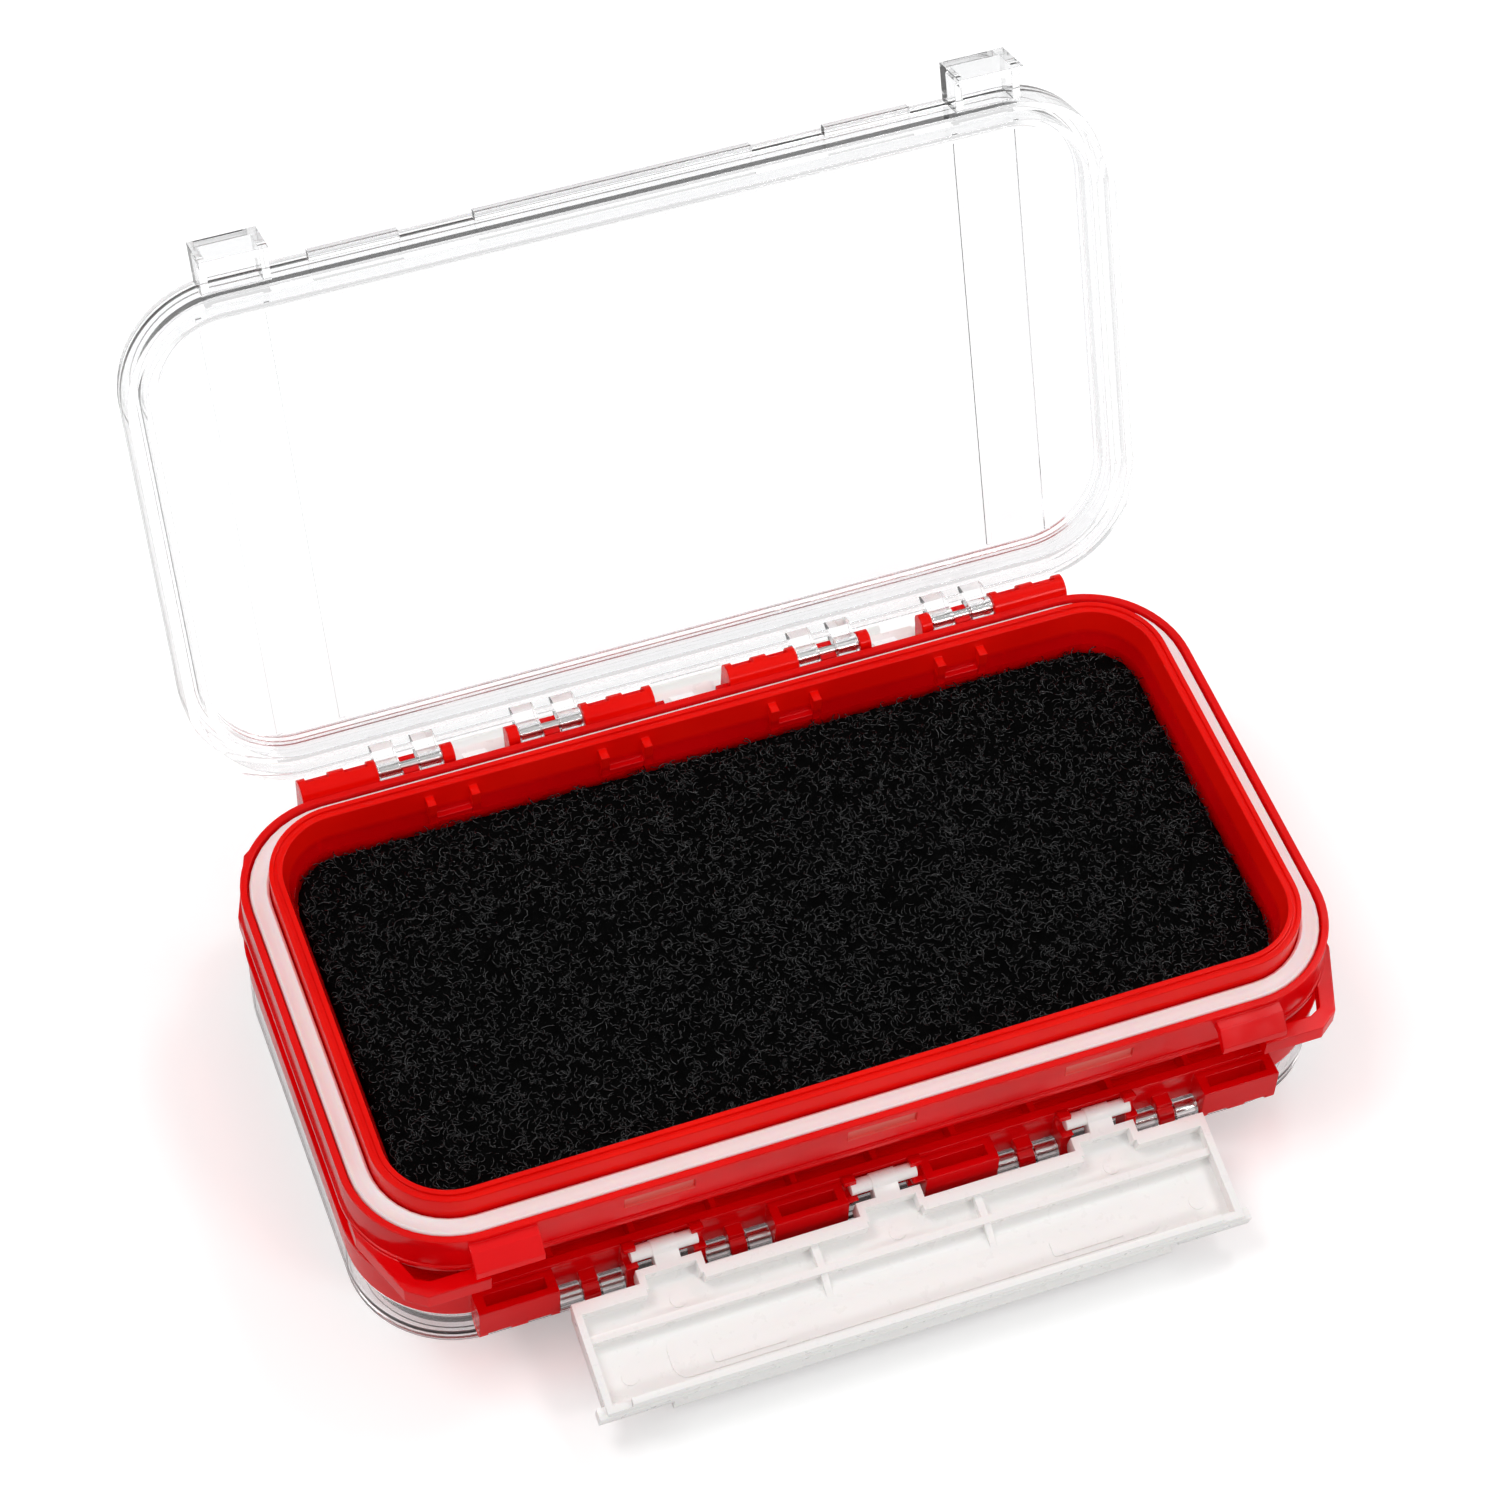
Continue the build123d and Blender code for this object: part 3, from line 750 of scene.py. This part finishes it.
combine(tray, raised(0, PANEL_HALF, PANEL_LOW, PANEL_HIGH, PANEL_HEIGHT, PANEL_CORNER))
for x in FIELDS_AT:
    combine(tray, raised(x, FIELD_HALF, FIELD_LOW, FIELD_HIGH, FIELD_HEIGHT, FIELD_CORNER))
for x, z in PIN_MARKS:
    combine(tray, pin_mark(x, z))
put_in_order(tray)
print("latch with marks", len(tray.data.polygons), "faces")

# %% [markdown]
# The front latch hangs from the lower half and lies wide open. The back latch hangs
# from the upper half and stands a little open, unhooked. Both could be turned as
# objects, but the frame wants each piece to have its place in its mesh, so a copy of
# the mesh itself is turned: about its axis first, and then with its half of the box.

# %% Turn the two latches into place
UNHOOKED_TURN = 30.0  # degrees from closed, as OPEN_TURN is
AT_REST = (("front_latch", TO_LOWER, OPEN_TURN), ("back_latch", TO_UPPER, UNHOOKED_TURN))
take(tray)
bpy.ops.object.shade_smooth_by_angle(angle=math.radians(40))
faces_at = {}
for face in tray.data.polygons:
    for edge in face.edge_keys:
        faces_at[edge] = faces_at.get(edge, 0) + 1
print("open edges of the latch", sum(1 for count in faces_at.values() if count != 2))


def about_axis(degrees):
    """Turn about the latch's axis, as it lies in the frame of the upper half."""
    axis = Matrix.Translation((0, AXIS_Y, AXIS_Z))
    return axis @ Matrix.Rotation(math.radians(degrees), 4, "X") @ axis.inverted()


def copy_piece(piece, name, change):
    """A piece with its own mesh, changed by that matrix."""
    copy = bpy.data.objects.new(name, piece.data.copy())
    bpy.context.scene.collection.objects.link(copy)
    copy.data.transform(change)
    return copy


for node, half, degrees in AT_REST:
    latch = copy_piece(tray, node + "_moulding", half @ about_axis(degrees))
    latch.data.materials.append(FINISHES["white_plastic"])
    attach(latch, node + "_body")
    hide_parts(node)
    ends = [[round(end(v.co[axis] for v in latch.data.vertices) / MM, 1) for axis in range(3)]
            for end in (min, max)]
    print(latch.name, "from", *ends, "mm,", len(latch.data.polygons), "faces")
bpy.data.objects.remove(tray)

# %% [markdown]
# ## The seals
# A seal is one closed ring of white silicone, pressed into the trough round the tray.
# It has two rounded ridges that the lid squeezes. One way to make it is a curve with
# a bevel. Here its section is drawn once and swept by hand, because that keeps the
# ridges exact: spun round a corner, drawn out along a side, four times, and then the
# two ends are merged.

# %% The ring of the seal
SEAT = PARTING + 9.9 * MM
SECTION = [(out * MM, SEAT + z * MM) for out, z in (  # outwards from the tray, and up
    (2.65, 0.1), (2.75, 0.0), (6.15, 0.0), (6.25, 0.1), (6.25, 1.5), (6.1, 1.85), (5.75, 2.05),
    (5.4, 1.9), (5.1, 1.75), (3.8, 1.75), (3.5, 1.9), (3.15, 2.05), (2.8, 1.85), (2.65, 1.5))]


def sweep_ring(name):
    """Closed ring of that section round the tray."""
    deselect()
    bpy.ops.mesh.primitive_circle_add(vertices=len(SECTION), radius=MM)
    ring = bpy.context.object
    ring.name = name
    x, y = TRAY_HALF_X - TRAY_RADIUS, TRAY_HALF_Y - TRAY_RADIUS
    for vertex, (out, z) in zip(ring.data.vertices, SECTION):
        vertex.co = (TRAY_HALF_X + out, -y, z)
    sides = (((x, y), (0, 2 * y)), ((-x, y), (-2 * x, 0)),
             ((-x, -y), (0, -2 * y)), ((x, -y), (2 * x, 0)))
    bpy.ops.object.mode_set(mode="EDIT")
    bpy.ops.mesh.select_all(action="SELECT")
    for (corner_x, corner_y), (along_x, along_y) in sides:
        draw_out(along_x, along_y, 0)
        bpy.ops.mesh.spin(steps=10, angle=math.pi / 2, center=(corner_x, corner_y, 0),
                          axis=(0, 0, -1))
    bpy.ops.mesh.select_all(action="SELECT")
    bpy.ops.mesh.remove_doubles(threshold=0.01 * MM)
    bpy.ops.mesh.normals_make_consistent(inside=False)
    bpy.ops.object.mode_set(mode="OBJECT")
    bpy.ops.object.shade_smooth_by_angle(angle=math.radians(50))
    return settle()


def lower_copy(piece, name):
    """The same piece for the lower half, turned over about the long axis."""
    return copy_piece(piece, name, TO_LOWER @ Matrix.Translation((0, 0, -PARTING)))


upper_ring = sweep_ring("upper_seal_ring")
lower_ring = lower_copy(upper_ring, "lower_seal_ring")
print("seal ring", len(upper_ring.data.polygons), "faces")

# %% [markdown]
# Silicone is matt, and a little light scatters under its skin, so its edges look soft.
# It could be a plain white, but fine dust gives the real one an uneven gloss, and a
# fast noise in the roughness and the relief shows that.

# %% White silicone finish
SILICONE = ((0.90, 0.90, 0.895), (0.95, 0.95, 0.945))


def white_silicone():
    f = Finish("white_silicone")
    f.colour(f.mix(f.noise(scale=90.0, detail=4.0), *SILICONE))
    f.rough(f.noise(scale=700.0, detail=4.0), 0.42, 0.62)
    f.set(Subsurface_Weight=0.2, Subsurface_Scale=MM)
    f.relief(f.noise(scale=1800.0, detail=4.0), 0.03 * MM)
    return f.done()


silicone = white_silicone()
for ring, node in ((upper_ring, "upper_seal"), (lower_ring, "lower_seal")):
    ring.data.materials.append(silicone)
    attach(ring, "case")
    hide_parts(node)

# %% [markdown]
# ## The fibre mats
# The mat is a thick felt of short, curled plastic fibres, which hold what is pressed
# into them. Seen close up it is all small bright arcs over dark gaps. Hair would be
# one way to make it, but hair has no closed mesh. So it is made in two layers: a soft
# dark pad with an uneven top, and thousands of curls strewn over it. A few curls are
# modelled, each by spinning a tiny triangle, and a Geometry Nodes modifier strews them
# over a sheet, each with its own turn, tilt and size, before it is applied.

# %% The pad under the curls
MAT_LOW, MAT_TOP = mat_low.z, mat_high.z
PAD_RADIUS, PAD_BRIM, PAD_TOP = 10.0 * MM, 1.4 * MM, MAT_TOP - 0.5 * MM
VOXEL, LUMP_SIZE, LUMP_DEPTH = 0.9 * MM, 2.2 * MM, 0.9 * MM


def rounded_slab(name, half_x, half_y, radius, z0, z1, brim=0.0):
    """Box with upright edges rounded by radius, and the upper rim by brim."""
    deselect()
    bpy.ops.mesh.primitive_cube_add(size=1.0, location=(0, 0, (z0 + z1) / 2))
    bpy.context.object.scale = (2 * half_x, 2 * half_y, z1 - z0)
    piece = settle()
    piece.name = name
    pick_edges(piece, lambda a, b: abs(a.z - b.z) > 0.5 * (z1 - z0))
    bpy.ops.mesh.bevel(offset=radius, segments=8)
    if brim:
        pick_edges(piece, lambda a, b: min(a.z, b.z) > z1 - 0.1 * MM)
        bpy.ops.mesh.bevel(offset=brim, segments=3)
    bpy.ops.object.mode_set(mode="OBJECT")
    return piece


def make_pad(name):
    pad = rounded_slab(name, mat_high.x, mat_high.y, PAD_RADIUS, MAT_LOW, PAD_TOP, PAD_BRIM)
    fine = pad.modifiers.new("fine_mesh", "REMESH")
    fine.mode, fine.voxel_size = "VOXEL", VOXEL
    bpy.ops.object.modifier_apply(modifier=fine.name)
    texture = bpy.data.textures.new("lumps", "CLOUDS")
    texture.noise_scale = LUMP_SIZE
    lumps = pad.modifiers.new("lumps", "DISPLACE")
    lumps.texture, lumps.texture_coords, lumps.direction = texture, "LOCAL", "NORMAL"
    lumps.mid_level, lumps.strength = 1.0, LUMP_DEPTH  # only inwards
    bpy.ops.object.modifier_apply(modifier=lumps.name)
    bpy.ops.object.shade_smooth()
    return pad


upper_pad = make_pad("upper_mat_pad")
lower_pad = lower_copy(upper_pad, "lower_mat_pad")
print("pad", len(upper_pad.data.polygons), "faces")

# %% A few curls of fibre
FIBRE = 0.22 * MM  # thickness
CURL_SIZES = (  # bend radius in mm, turn in degrees, how far one end lifts in mm
    (0.55, 250, 0.3), (0.8, 170, 0.4), (1.1, 120, 0.3), (0.7, 210, -0.3), (1.6, 80, 0.3))


def make_curl(name, bend, turn, lift):
    deselect()
    bpy.ops.mesh.primitive_circle_add(vertices=3, radius=FIBRE / 2, location=(bend, 0, 0),
                                      rotation=(math.pi / 2, 0, 0))
    curl = settle()
    curl.name = name
    bpy.ops.object.mode_set(mode="EDIT")
    bpy.ops.mesh.select_all(action="SELECT")
    bpy.ops.mesh.spin(steps=6, angle=turn, center=(0, 0, 0), axis=(0, 0, 1))
    bpy.ops.mesh.select_all(action="SELECT")
    bpy.ops.mesh.remove_doubles(threshold=0.001 * MM)
    bpy.ops.mesh.fill_holes(sides=3)
    bpy.ops.mesh.normals_make_consistent(inside=False)
    bpy.ops.object.mode_set(mode="OBJECT")
    centre = sum((v.co for v in curl.data.vertices), Vector()) / len(curl.data.vertices)
    for vertex in curl.data.vertices:
        vertex.co.z += lift * abs(math.atan2(vertex.co.y, vertex.co.x)) / turn
        vertex.co.xy -= centre.xy
    bpy.ops.object.shade_smooth()
    return curl


curls = bpy.data.collections.new("curls")
bpy.context.scene.collection.children.link(curls)
for i, (bend, turn, lift) in enumerate(CURL_SIZES):
    curl = make_curl("curl_%d" % i, bend * MM, math.radians(turn), lift * MM)
    bpy.context.scene.collection.objects.unlink(curl)
    curls.objects.link(curl)


# %% Nodes that strew the curls
TILT, SMALLEST, LARGEST = 0.6, 0.75, 1.2
STREW_DEPTH = 0.9 * MM


def strewing_nodes(name, per_area, seed):
    """Geometry Nodes that put a random curl on each random point of a sheet."""
    tree = bpy.data.node_groups.new(name, "GeometryNodeTree")
    tree.interface.new_socket("Sheet", in_out="INPUT", socket_type="NodeSocketGeometry")
    tree.interface.new_socket("Fibres", in_out="OUTPUT", socket_type="NodeSocketGeometry")
    start, end = tree.nodes.new("NodeGroupInput"), tree.nodes.new("NodeGroupOutput")

    def chance(kind, low, high, offset):
        """Random values between low and high."""
        node = tree.nodes.new("FunctionNodeRandomValue")
        node.data_type = kind
        first = {"FLOAT_VECTOR": 0, "FLOAT": 2}[kind]
        node.inputs[first].default_value, node.inputs[first + 1].default_value = low, high
        node.inputs["Seed"].default_value = seed + offset
        return next(o for o in node.outputs if o.enabled)

    points = tree.nodes.new("GeometryNodeDistributePointsOnFaces")
    points.inputs["Density"].default_value = per_area
    points.inputs["Seed"].default_value = seed
    tree.links.new(start.outputs[0], points.inputs["Mesh"])
    sink = tree.nodes.new("GeometryNodeSetPosition")
    tree.links.new(points.outputs["Points"], sink.inputs["Geometry"])
    down = chance("FLOAT_VECTOR", (0, 0, -STREW_DEPTH), (0, 0, 0), 1)
    tree.links.new(down, sink.inputs["Offset"])
    shapes = tree.nodes.new("GeometryNodeCollectionInfo")
    shapes.inputs["Collection"].default_value = curls
    shapes.inputs["Separate Children"].default_value = True
    shapes.inputs["Reset Children"].default_value = True
    place = tree.nodes.new("GeometryNodeInstanceOnPoints")
    place.inputs["Pick Instance"].default_value = True
    tree.links.new(sink.outputs["Geometry"], place.inputs["Points"])
    tree.links.new(shapes.outputs["Instances"], place.inputs["Instance"])
    turn = chance("FLOAT_VECTOR", (-TILT, -TILT, 0), (TILT, TILT, 2 * math.pi), 2)
    tree.links.new(turn, place.inputs["Rotation"])
    tree.links.new(chance("FLOAT", SMALLEST, LARGEST, 3), place.inputs["Scale"])
    real = tree.nodes.new("GeometryNodeRealizeInstances")
    tree.links.new(place.outputs["Instances"], real.inputs["Geometry"])
    tree.links.new(real.outputs["Geometry"], end.inputs[0])
    return tree


# %% Strew the curls over the pads
CURLS_EACH, FIRST_SEED = 4000, 11
SHEET_INSET, SHEET_RADIUS, SHEET_TOP = 0.7 * MM, 9.5 * MM, MAT_TOP - 0.55 * MM


def strew(name, seed):
    """Curls over a sheet with round corners, which leaves only the curls."""
    piece = rounded_slab(name, mat_high.x - SHEET_INSET, mat_high.y - SHEET_INSET,
                         SHEET_RADIUS, SHEET_TOP - MM, SHEET_TOP)
    pick_faces(piece, lambda face: face.normal.z < 0.5)
    bpy.ops.mesh.delete(type="FACE")
    bpy.ops.object.mode_set(mode="OBJECT")
    area = sum(face.area for face in piece.data.polygons)
    spread = piece.modifiers.new("strew", "NODES")
    spread.node_group = strewing_nodes(name + "_nodes", CURLS_EACH / area, seed)
    bpy.ops.object.modifier_apply(modifier=spread.name)
    return piece


upper_fibres = [strew("upper_mat_fibre_%d" % (i + 1), FIRST_SEED + i) for i in range(4)]
lower_fibres = [lower_copy(p, p.name.replace("upper", "lower")) for p in upper_fibres]
for curl in list(curls.objects):
    bpy.data.objects.remove(curl)
bpy.data.collections.remove(curls)
tops = [max(v.co.z for v in piece.data.vertices) for piece in upper_fibres]
print("fibre pieces", [len(p.data.polygons) for p in upper_fibres], "faces, tops",
      [round((top - MAT_TOP) / MM, 2) for top in tops], "mm over the mat")

# %% [markdown]
# The fibre is black plastic, and only its gloss shows: each curl catches the light in
# one short line. One black finish could do for both layers, but then the gaps between
# the curls would be as bright as the curls. So the pad under them is matt, and its
# colour is black darkened further: painted shade for the depth between the curls.

# %% Black fibre finishes
FIBRE_BLACK = ((0.002, 0.002, 0.002), (0.012, 0.012, 0.013))
# the pad: black like the fibre, made darker still as painted shade under the curls
PAD_BLACK_AND_SHADE = ((0.0005, 0.0005, 0.0005), (0.003, 0.003, 0.003))


def black_fibre():
    f = Finish("black_fibre")
    f.colour(f.mix(f.noise(scale=400.0, detail=2.0), *FIBRE_BLACK))
    f.rough(f.noise(scale=500.0, detail=2.0), 0.08, 0.24)
    f.set(Specular_IOR_Level=0.45)
    f.relief(f.noise(scale=2500.0, detail=2.0), 0.01 * MM)
    return f.done()


def dark_pad():
    f = Finish("dark_pad")
    f.colour(f.mix(f.noise(scale=500.0, detail=3.0), *PAD_BLACK_AND_SHADE))
    f.rough(f.noise(scale=600.0, detail=3.0), 0.6, 0.9)
    f.set(Specular_IOR_Level=0.01)
    f.relief(f.noise(scale=900.0, detail=4.0), 0.4 * MM)
    return f.done()


# %% Put the mats in the case
fibre_finish, pad_finish = black_fibre(), dark_pad()
for piece in upper_fibres + lower_fibres:
    piece.data.materials.clear()
    piece.data.materials.append(fibre_finish)
    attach(piece, "case")
for pad, node in ((upper_pad, "upper_mat"), (lower_pad, "lower_mat")):
    pad.data.materials.append(pad_finish)
    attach(pad, "case")
    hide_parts(node)
print("pieces in the mats", [p.name for p in upper_fibres + [upper_pad]], "and the lower ones")
